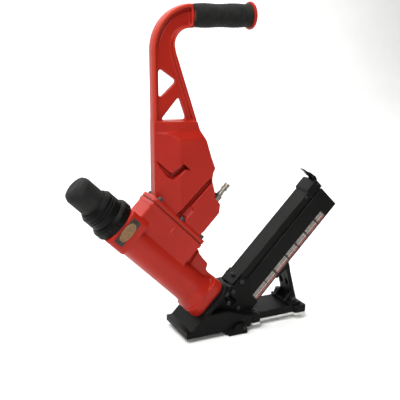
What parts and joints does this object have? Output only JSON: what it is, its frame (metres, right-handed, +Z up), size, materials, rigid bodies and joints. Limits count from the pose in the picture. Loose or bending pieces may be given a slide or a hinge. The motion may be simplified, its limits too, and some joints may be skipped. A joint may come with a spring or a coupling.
{
  "type": "pneumatic flooring nailer",
  "caption": "Mallet-driven pneumatic nailer for floor boards: red cylinder body and tall looped handle on a black angled foot, with a slanted fastener magazine.",
  "frame": {"origin": "on the middle plane, where the driver centre line meets the sole plane at the nose", "axes": "+X from the nose toward the magazine and base plate, +Z up, +Y across the tool; the driver line leans 45 degrees in the X-Z plane"},
  "size_m": [0.4983, 0.1064, 0.5635],
  "materials": {
    "red_paint": "gloss",
    "black_cast": "satin",
    "steel": "satin",
    "dark_steel": "satin",
    "aluminium": "satin",
    "rubber": "matte",
    "foam": "matte",
    "gasket": "matte",
    "pale_plastic": "matte",
    "strip": "matte",
    "badge": "satin"
  },
  "bodies": {
    "housing": {"body_housing": "red_paint", "nose_gasket": "gasket", "nose_bolts": "dark_steel", "badge_plate": "badge", "badge_screws": "steel", "cylinder_sleeve": "aluminium", "sleeve_seals": "rubber", "bumper": "rubber", "valve_housing": "aluminium", "valve_seals": "rubber", "bonnet": "black_cast", "strike_guard": "black_cast", "ram_seal": "rubber", "ram_spring": "steel", "handle_casting": "red_paint", "handle_gasket": "gasket", "handle_bolts": "dark_steel", "foam_grip": "foam", "grip_end_cap": "red_paint", "grip_screw": "dark_steel", "air_plug": "steel", "nose_casting": "black_cast", "front_guide_plate": "steel", "rear_guide_plate": "steel", "guide_screws": "steel", "toe_plate": "black_cast", "toe_screws": "dark_steel", "base_plate": "black_cast", "base_bolts": "dark_steel", "sole_pad": "pale_plastic", "pad_screws": "steel", "rear_strut": "black_cast", "strut_bolts": "dark_steel", "magazine_channel": "black_cast", "fastener_rail": "steel", "rail_screws": "dark_steel", "size_strip": "strip", "spring_anchor": "steel"},
    "strike_head": {"ram": "steel", "ram_screw": "dark_steel", "strike_cap": "rubber"},
    "driver": {"main_piston": "aluminium", "piston_ring": "rubber", "driver_blade": "steel", "blade_pin": "steel"},
    "cover": {"magazine_cover": "black_cast", "cover_block": "black_cast", "cover_screws": "dark_steel", "latch_pin": "steel", "latch_spring": "steel"},
    "latch": {"latch_lever": "black_cast"},
    "pusher": {"pusher": "steel", "drum_pin": "steel"},
    "drum": {"spring_drum": "steel"}
  },
  "joints": [
    {"name": "strike_slide", "type": "slide", "parent": "housing", "child": "strike_head", "axis": [0.7071, 0, -0.7071], "range_m": [0, 0.012], "stiffness_N_per_m": 2000, "springref_m": -0.01, "deforming": ["ram_spring"]},
    {"name": "driver_slide", "type": "slide", "parent": "housing", "child": "driver", "axis": [0.7071, 0, -0.7071], "range_m": [0, 0.073]},
    {"name": "cover_slide", "type": "slide", "parent": "housing", "child": "cover", "axis": [0.7071, 0, 0.7071], "range_m": [0, 0.15]},
    {"name": "latch_hinge", "type": "hinge", "parent": "cover", "child": "latch", "pos_m": [0.16864, 0, 0.23865], "axis": [0, 1, 0], "range_deg": [0, 18], "stiffness_Nm_per_rad": 0.5, "springref_deg": -14.32},
    {"name": "pusher_slide", "type": "slide", "parent": "housing", "child": "pusher", "axis": [0.7071, 0, 0.7071], "range_m": [0, 0.175], "stiffness_N_per_m": 10, "springref_m": -1.5},
    {"name": "drum_turn", "type": "hinge", "parent": "pusher", "child": "drum", "pos_m": [0.04511, 0, 0.05671], "axis": [0, 1, 0], "range_deg": [0, 1060]}
  ],
  "couplings": [
    {"joint": "drum_turn", "follows": "pusher_slide", "rad_per_m": 105.26}
  ]
}
